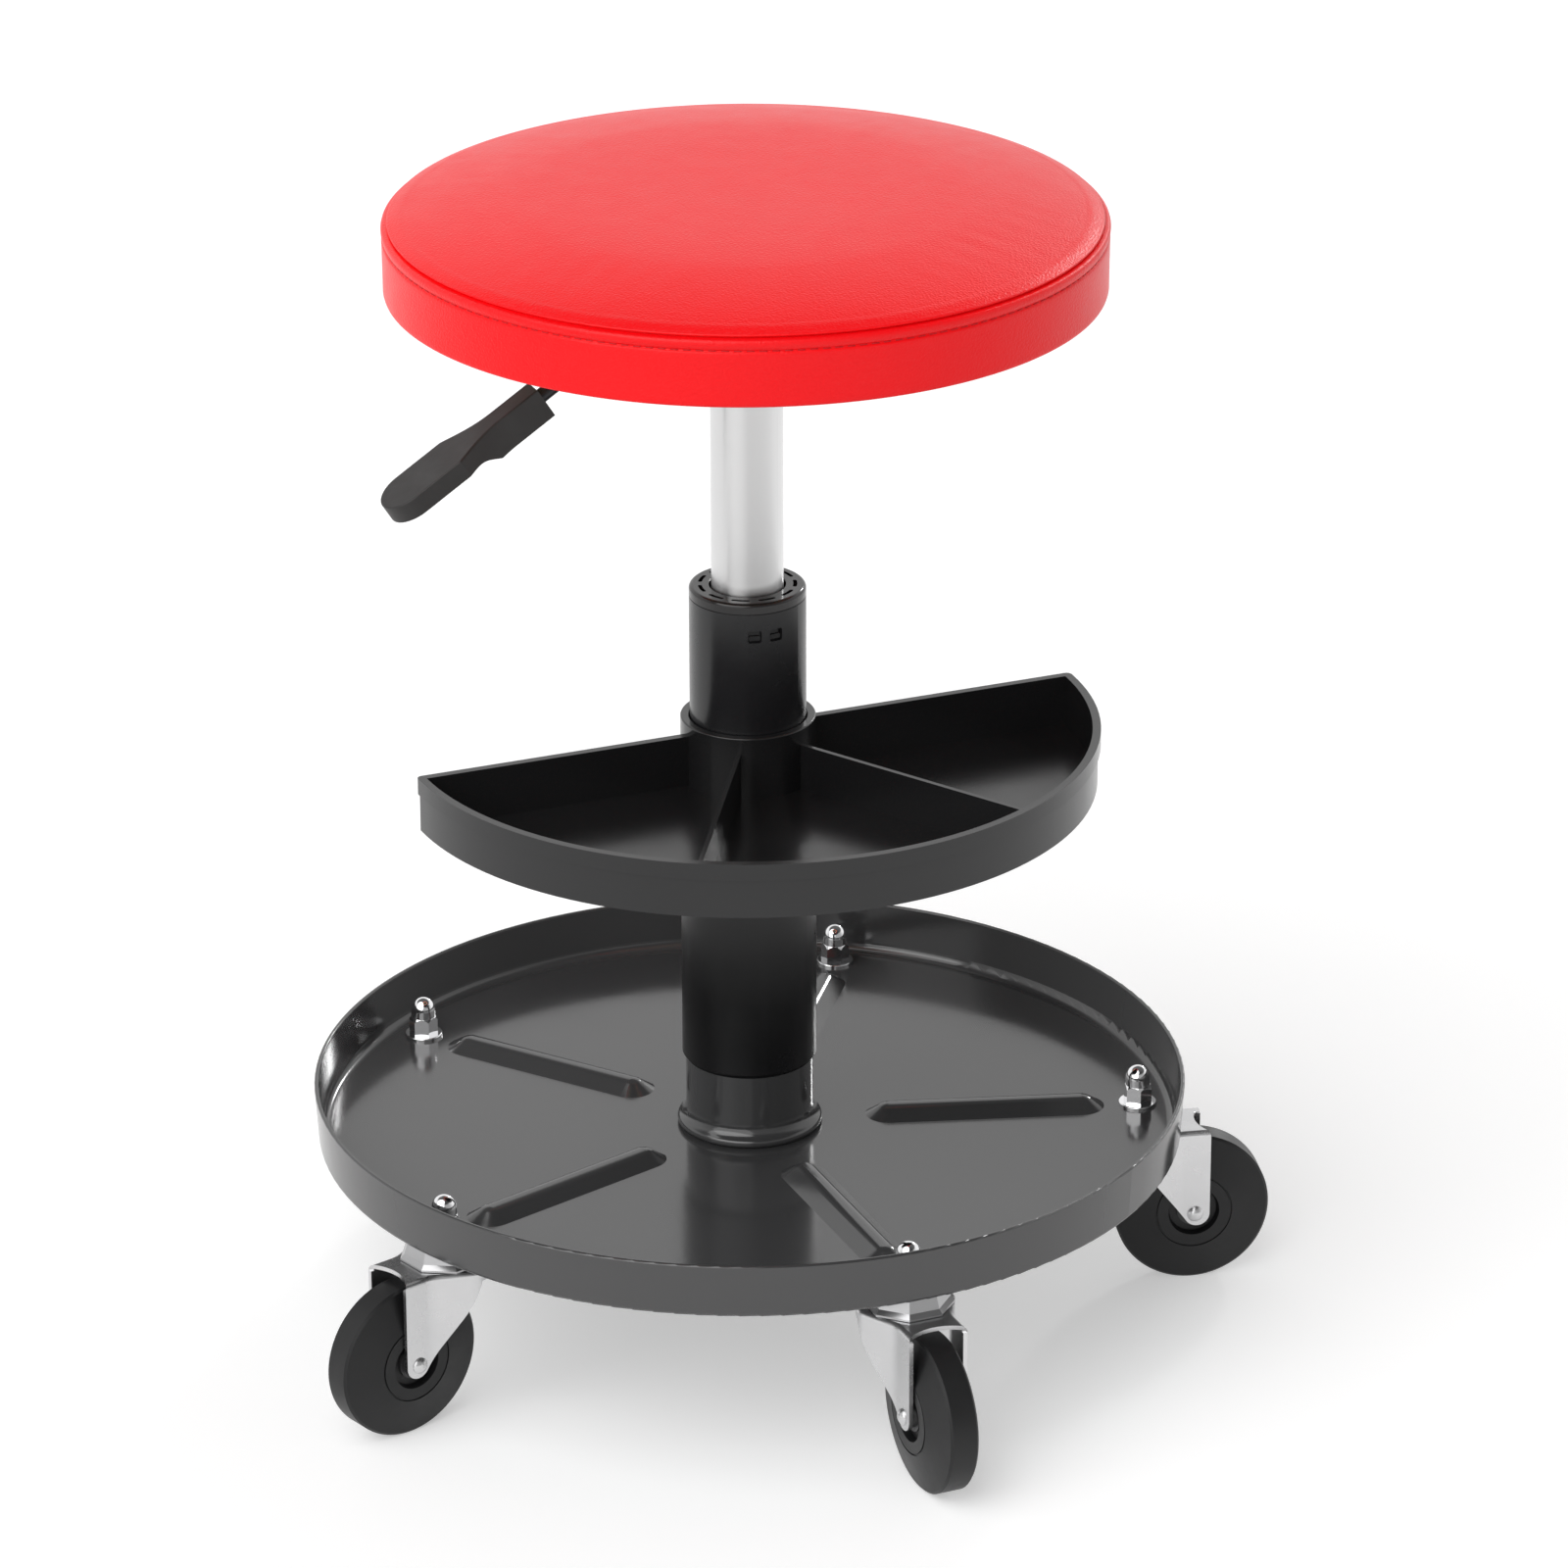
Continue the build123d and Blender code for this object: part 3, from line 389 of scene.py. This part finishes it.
def zinc_in_painted_shade():
    """Zinc of the race caps with its colour darkened as painted shade, for the pan's shade they sit in."""
    finish = Finish("Zinc in painted shade", colour=(0.42, 0.42, 0.425), roughness=0.30, metallic=1.0)
    finish.uneven_gloss(low=0.27, high=0.33, scale=40.0)
    return finish.material


def mirror_chrome():
    """Mirror chrome of the dome nuts and their washers."""
    finish = Finish("Mirror chrome", colour=(0.86, 0.86, 0.87), roughness=0.06, metallic=1.0)
    finish.uneven_gloss(low=0.04, high=0.09, scale=90.0)
    return finish.material


def turned_steel():
    """Plain turned steel of the pins, races, rods, stems and balls."""
    finish = Finish("Turned steel", colour=(0.56, 0.56, 0.57), roughness=0.3, metallic=1.0)
    lines = finish.brushed_gloss(stretch=(120.0, 120.0, 2400.0), low=0.24, high=0.36)
    finish.bump(lines.outputs["Height"], strength=0.05, depth=0.0001)
    return finish.material


def black_steel():
    """Blackened steel of the lever's rod."""
    finish = Finish("Blackened steel", colour=(0.03, 0.03, 0.032), roughness=0.32, metallic=0.6)
    finish.uneven_gloss(low=0.27, high=0.38, scale=120.0)
    return finish.material


def plywood():
    """Birch plywood: long streaks of grain across the board's face."""
    finish = Finish("Plywood", colour=(0.60, 0.44, 0.26), roughness=0.62)
    streaks = finish.group(brushed_lines, Stretch=(14.0, 420.0, 420.0), Low=0.0, High=1.0)
    ramp = finish.tree.nodes.new("ShaderNodeValToRGB")
    ramp.color_ramp.elements[0].color = (0.50, 0.34, 0.18, 1.0)
    ramp.color_ramp.elements[1].color = (0.70, 0.54, 0.34, 1.0)
    join(finish.tree, streaks.outputs["Value"], ramp.inputs["Fac"])
    join(finish.tree, ramp.outputs["Color"], finish.shader.inputs["Base Color"])
    finish.bump(streaks.outputs["Height"], strength=0.15, depth=0.0003)
    return finish.material


finishes = {
    "vinyl": red_vinyl(),
    "thread": thread(),
    "enamel": black_enamel(),
    "satin enamel": satin_enamel(),
    "tray": tray_plastic(),
    "sleeve": sleeve_plastic(),
    "cap": cap_plastic(),
    "grip": grip_plastic(),
    "wheel": wheel_rubber(),
    "rubber": soft_rubber(),
    "nylon": nylon(),
    "tube": bright_tube(),
    "zinc": zinc_plate(),
    "zinc in painted shade": zinc_in_painted_shade(),
    "chrome": mirror_chrome(),
    "steel": turned_steel(),
    "black steel": black_steel(),
    "plywood": plywood(),
}

# Which finish each carried-over piece wears
worn_by = {
    "enamel": ["base_pan", "base_socket"],
    "satin enamel": ["column_tube", "mechanism_socket", "mechanism_housing", "seat_plate"],
    "tray": ["half_tray"],
    "sleeve": ["spacer_sleeve", "guide_bush"],
    "cap": ["column_cap"],
    "grip": ["lever_handle"],
    "rubber": ["bump_stop", "cylinder_gland"],
    "nylon": ["tray_washer"],
    "tube": ["gas_cylinder"],
    # The race caps wear zinc whose darker colour is painted shade, not a duller plating.
    "zinc in painted shade": ["race_caps"],
    "zinc": ["tee_nuts", "seat_bolts", "bolt_washers", "stem_washers"],
    "chrome": ["dome_nuts", "nut_washers"],
    "steel": [
        "column_bottom_plate", "thrust_race_lower", "thrust_race_upper", "thrust_balls", "rod_clip",
        "piston_rod", "piston_head", "valve_body", "release_pin", "lever_pivot_pin", "caster_stems",
        "swivel_balls",
    ],
    "black steel": ["lever_rod"],
    "plywood": ["seat_board"],
    "wheel": [],
}
for number in range(1, 6):
    worn_by["zinc"] += [f"caster_{number}_fork", f"caster_{number}_axle"]
    worn_by["wheel"] += [f"caster_{number}_wheel"]
    worn_by["nylon"] += [f"caster_{number}_hub"]


def dress(piece, material):
    """Give a piece one material on all its faces."""
    piece.data.materials.clear()
    piece.data.materials.append(material)


for finish_name, members in worn_by.items():
    for member in members:
        dress(nodes[member], finishes[finish_name])


# Cushion


def crown_at(radius):
    """Height of the crown above the seam: nearly flat in the middle, rolling over into the seam."""
    share = min(radius / seam_radius, 1.0)
    return (crown_height - seam_height) * (1 - share ** crown_flatness) ** crown_roll


def put_in_scene(name, mesh):
    """A new object at the origin that holds this mesh."""
    piece = bpy.data.objects.new(name, mesh)
    bpy.context.scene.collection.objects.link(piece)
    return piece


def shade_smooth(piece):
    """Smooth shading on every face."""
    piece.data.polygons.foreach_set("use_smooth", [True] * len(piece.data.polygons))


def bake(piece):
    """Replace a piece's mesh by its evaluated one, and drop its modifiers."""
    graph = bpy.context.evaluated_depsgraph_get()
    mesh = bpy.data.meshes.new_from_object(piece.evaluated_get(graph))
    piece.modifiers.clear()
    piece.data = mesh


def turned_mesh(name, outline):
    """A mesh turned about the column's axis from a closed outline of (radius, height) points."""
    grid = bmesh.new()
    angles = [tau * step / turned_steps for step in range(turned_steps)]
    rings = [
        [grid.verts.new((radius * cos(angle), radius * sin(angle), height)) for angle in angles]
        for radius, height in outline
    ]
    for low, high in zip(rings, rings[1:] + rings[:1]):
        for step in range(turned_steps):
            after = (step + 1) % turned_steps
            grid.faces.new((low[step], low[after], high[after], high[step]))
    bmesh.ops.recalc_face_normals(grid, faces=grid.faces)
    mesh = bpy.data.meshes.new(name)
    grid.to_mesh(mesh)
    grid.free()
    return mesh


def pad_blank(foot):
    """A plain round blank of even quads, from the pad's foot to above its crown."""
    pad = bmesh.new()
    middle = (seam_height + foot) / 2 + pad_spare / 2
    bmesh.ops.create_cone(
        pad, cap_ends=True, segments=pad_segments, radius1=pad_radius, radius2=pad_radius,
        depth=seam_height - foot + pad_spare, matrix=Matrix.Translation((0, 0, middle)),
    )
    mesh = bpy.data.meshes.new("seat_top")
    pad.to_mesh(mesh)
    pad.free()
    piece = put_in_scene("seat_top", mesh)
    remesh = piece.modifiers.new("Even quads", "REMESH")
    remesh.mode = "VOXEL"
    remesh.voxel_size = voxel
    bake(piece)
    return piece


def padded_top():
    """The top panel: a domed pad, puffed by cloth under pressure and held at the seam."""
    foot = seam_height - pad_depth
    piece = pad_blank(foot)
    held = piece.vertex_groups.new(name="Held at the seam")
    start = []
    for vertex in piece.data.vertices:
        flat = Vector((vertex.co.x, vertex.co.y))
        radius = min(flat.length, pad_radius)
        if vertex.co.z > seam_height:
            vertex.co.z = seam_height + crown_at(radius)
        else:
            vertex.co.z = max(vertex.co.z, foot)
        if flat.length > pad_radius:
            vertex.co.x, vertex.co.y = flat.normalized() * pad_radius
        start.append(vertex.co.copy())
        near_seam = radius > pad_radius - held_width or vertex.co.z < seam_height
        held.add([vertex.index], 1.0 if near_seam else 0.0, "REPLACE")
    puff(piece, held.name, start)
    smooth = piece.modifiers.new("Smooth", "SUBSURF")
    smooth.levels = smooth.render_levels = 1
    bake(piece)
    shade_smooth(piece)
    return piece


def puff(piece, held_name, start):
    """Blow the pad up a little as cloth, and cap how far each point may go from where it started."""
    cloth = piece.modifiers.new("Cloth", "CLOTH")
    cloth.settings.quality = cloth_quality
    cloth.settings.use_pressure = True
    cloth.settings.uniform_pressure_force = cloth_pressure
    cloth.settings.effector_weights.gravity = 0.0
    cloth.settings.vertex_group_mass = held_name
    cloth.point_cache.frame_start = 1
    cloth.point_cache.frame_end = cloth_frames
    scene = bpy.context.scene
    for number in range(1, cloth_frames + 1):
        scene.frame_set(number)
    bake(piece)
    for vertex, before in zip(piece.data.vertices, start):
        step = vertex.co - before
        if step.length > most_puff:
            vertex.co = before + step.normalized() * most_puff
    scene.frame_set(1)


def side_band():
    """The side band up to the seam, and the top panel's edge, which rolls over into the seam's groove."""
    outline = [(hem_radius, band_bottom + vinyl), (hem_radius, band_bottom)]
    outline += [(seat_radius + across * mm, band_bottom + above * mm) for across, above in lower_edge]
    edge = lower_edge[-1][1] * mm
    lift = stitch_height - face_end - band_bottom
    for step in range(1, face_steps + 1):
        share = step / face_steps
        outline.append((seat_radius + face_bulge * share ** 2, band_bottom + edge + (lift - edge) * share))
    outline += [
        (seat_radius + across * mm, stitch_height + above * mm) for across, above in crease + ridge + groove
    ]
    for step in range(rim_steps + 1):
        radius = seam_radius - (rim_start + rim_pitch * step) * mm
        dive = rim_dive * max(step - rim_level_steps, 0) / (rim_steps - rim_level_steps)
        outline.append((radius, seam_height + crown_at(radius) + (rim_rise - dive) * mm))
    outline += [(radius, seam_height - rim_thickness), (radius, band_bottom + vinyl)]
    piece = put_in_scene("seat_band", turned_mesh("seat_band", outline))
    shade_smooth(piece)
    return piece


def ring_of_bars(name, ring, height, count, length, thickness, material):
    """A ring of small round bars laid end to end, such as stitches or staples, made by a node tree."""
    tree = bpy.data.node_groups.new(name, "GeometryNodeTree")
    tree.is_modifier = True
    settings = {
        "Ring Radius": ("NodeSocketFloat", ring),
        "Ring Height": ("NodeSocketFloat", height),
        "Count": ("NodeSocketInt", count),
        "Bar Length": ("NodeSocketFloat", length),
        "Bar Radius": ("NodeSocketFloat", thickness / 2),
    }
    names = {}
    for key, (kind, value) in settings.items():
        names[key] = socket(tree, key, "INPUT", kind, value).identifier
    socket(tree, "Geometry", "OUTPUT", "NodeSocketGeometry")
    start = tree.nodes.new("NodeGroupInput")
    end = tree.nodes.new("NodeGroupOutput")
    circle = tree.nodes.new("GeometryNodeCurvePrimitiveCircle")
    circle.inputs["Resolution"].default_value = ring_points
    points = tree.nodes.new("GeometryNodeResampleCurve")
    turn = tree.nodes.new("FunctionNodeAlignEulerToVector")
    turn.axis = "X"
    direction = tree.nodes.new("GeometryNodeInputTangent")
    bar = tree.nodes.new("GeometryNodeMeshCylinder")
    bar.inputs["Vertices"].default_value = bar_sides
    bar.inputs["Side Segments"].default_value = bar_segments
    lie = tree.nodes.new("GeometryNodeTransform")
    lie.inputs["Rotation"].default_value = (0.0, pi / 2, 0.0)
    instances = tree.nodes.new("GeometryNodeInstanceOnPoints")
    lift = tree.nodes.new("GeometryNodeTransform")
    rise = tree.nodes.new("ShaderNodeCombineXYZ")
    real = tree.nodes.new("GeometryNodeRealizeInstances")
    paint = tree.nodes.new("GeometryNodeSetMaterial")
    paint.inputs["Material"].default_value = material
    join(tree, start.outputs["Ring Radius"], circle.inputs["Radius"])
    join(tree, circle.outputs["Curve"], points.inputs["Curve"])
    join(tree, start.outputs["Count"], points.inputs["Count"])
    join(tree, points.outputs["Curve"], instances.inputs["Points"])
    join(tree, direction.outputs["Tangent"], turn.inputs["Vector"])
    join(tree, turn.outputs["Rotation"], instances.inputs["Rotation"])
    join(tree, start.outputs["Bar Length"], bar.inputs["Depth"])
    join(tree, start.outputs["Bar Radius"], bar.inputs["Radius"])
    join(tree, bar.outputs["Mesh"], lie.inputs["Geometry"])
    join(tree, lie.outputs["Geometry"], instances.inputs["Instance"])
    join(tree, instances.outputs["Instances"], lift.inputs["Geometry"])
    join(tree, start.outputs["Ring Height"], rise.inputs["Z"])
    join(tree, rise.outputs["Vector"], lift.inputs["Translation"])
    join(tree, lift.outputs["Geometry"], real.inputs["Geometry"])
    join(tree, real.outputs["Geometry"], paint.inputs["Geometry"])
    join(tree, paint.outputs["Geometry"], end.inputs["Geometry"])
    piece = put_in_scene(name, bpy.data.meshes.new(name))
    modifier = piece.modifiers.new(name, "NODES")
    modifier.node_group = tree
    for key, (kind, value) in settings.items():
        modifier[names[key]] = value
    bake(piece)
    shade_smooth(piece)
    return piece


seat_top = padded_top()
dress(seat_top, finishes["vinyl"])
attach(seat_top, "seat")
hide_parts("seat_cover", "seat_foam")

seat_band = side_band()
dress(seat_band, finishes["vinyl"])
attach(seat_band, "seat")
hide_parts("seat_cover", "seat_foam")

stitches = ring_of_bars(
    "seat_stitches", stitch_ring, stitch_height, round(tau * stitch_ring / stitch_pitch),
    stitch_length, stitch_thickness, finishes["thread"],
)
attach(stitches, "seat")

staples = ring_of_bars(
    "hem_staples", staple_ring, band_bottom - staple_drop, staple_count,
    staple_length, staple_thickness, finishes["zinc"],
)
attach(staples, "seat")


# Floor, light and camera


def pale_floor():
    """A wide matte floor that keeps the stool's soft shadow, lifted for the camera and in reflections."""
    mesh = bpy.data.meshes.new("floor")
    far = floor_reach
    mesh.from_pydata([(-far, -far, 0), (far, -far, 0), (far, far, 0), (-far, far, 0)], [], [(0, 1, 2, 3)])
    floor = put_in_scene("floor", mesh)
    finish = Finish("Pale floor", colour=(floor_grey, floor_grey, floor_grey), roughness=0.9, specular=0.0)
    path = finish.tree.nodes.new("ShaderNodeLightPath")
    seen = path.outputs["Is Camera Ray"]
    for ray in ("Is Glossy Ray", "Is Transmission Ray"):
        either = finish.tree.nodes.new("ShaderNodeMath")
        either.operation = "MAXIMUM"
        join(finish.tree, seen, either.inputs[0])
        join(finish.tree, path.outputs[ray], either.inputs[1])
        seen = either.outputs["Value"]
    join(finish.tree, seen, finish.shader.inputs["Emission Color"])
    finish.shader.inputs["Emission Strength"].default_value = floor_lift
    dress(floor, finish.material)


def studio_world(back):
    """A white studio: a bright low backdrop, dimmer on the camera's side, under a dim ceiling."""
    world = bpy.data.worlds.new("Studio")
    bpy.context.scene.world = world
    world.use_nodes = True
    tree = world.node_tree
    around = tree.nodes["Background"]
    direction = tree.nodes.new("ShaderNodeTexCoord")
    parts = tree.nodes.new("ShaderNodeSeparateXYZ")
    wall = tree.nodes.new("ShaderNodeValToRGB")
    wall.color_ramp.interpolation = "EASE"
    low, high = wall.color_ramp.elements
    low.position, low.color = backdrop_top, (1.0, 1.0, 1.0, 1.0)
    high.position, high.color = ceiling_start, (ceiling_level, ceiling_level, ceiling_level, 1.0)
    behind = tree.nodes.new("ShaderNodeVectorMath")
    behind.operation = "DOT_PRODUCT"
    behind.inputs[1].default_value = back
    side = tree.nodes.new("ShaderNodeMapRange")
    side.interpolation_type = "SMOOTHSTEP"
    side.inputs["From Min"].default_value = front_edge
    side.inputs["From Max"].default_value = back_edge
    side.inputs["To Min"].default_value = front_level
    join(tree, direction.outputs["Generated"], parts.inputs["Vector"])
    join(tree, direction.outputs["Generated"], behind.inputs[0])
    join(tree, parts.outputs["Z"], wall.inputs["Fac"])
    join(tree, behind.outputs["Value"], side.inputs["Value"])
    join(tree, wall.outputs["Color"], around.inputs["Color"])
    join(tree, side.outputs["Result"], around.inputs["Strength"])


def sky_panel(name, direction, strength, spread):
    """A large far panel, which lights the whole floor evenly: its direction, light and angle across."""
    data = bpy.data.lights.new(name, "SUN")
    data.energy = strength
    data.angle = radians(spread)
    lamp = bpy.data.objects.new(name, data)
    lamp.rotation_euler = (-direction.normalized()).to_track_quat("-Z", "Y").to_euler()
    bpy.context.scene.collection.objects.link(lamp)


def photo_camera():
    """The camera in the photograph's place, turned by its yaw, pitch and roll: where right and ahead are."""
    side = radians(camera_side)
    heading = radians(90 - camera_yaw) + side
    pitch, roll = radians(camera_pitch), radians(camera_roll)
    ahead = Vector((cos(heading) * cos(pitch), sin(heading) * cos(pitch), -sin(pitch)))
    level = Vector((sin(heading), -cos(heading), 0.0))
    top = level.cross(ahead)
    right = level * cos(roll) + top * sin(roll)
    top = top * cos(roll) - level * sin(roll)
    data = bpy.data.cameras.new("Camera")
    data.lens = camera_lens
    data.sensor_width = camera_sensor
    data.clip_end = camera_reach
    camera = bpy.data.objects.new("Camera", data)
    place = Vector((camera_distance * sin(side), -camera_distance * cos(side), camera_height))
    turn = Matrix((right, top, -ahead)).transposed().to_4x4()
    camera.matrix_world = Matrix.Translation(place) @ turn
    bpy.context.scene.collection.objects.link(camera)
    bpy.context.scene.camera = camera
    return right, ahead


right, ahead = photo_camera()
back = Vector((ahead.x, ahead.y, 0.0)).normalized()
overhead = Vector((0.0, 0.0, 1.0))
pale_floor()
studio_world(back)
sky_panel("Key panel", overhead * 0.80 - right * 0.38 - back * 0.42, strength=1.35, spread=60)
sky_panel("Front panel", overhead * 0.48 - right * 0.45 - back * 0.75, strength=1.14, spread=64)
sky_panel("Rim panel", right * 0.38 + back * 0.80 + overhead * 0.40, strength=0.36, spread=6)
bpy.context.scene.view_settings.view_transform = "Standard"
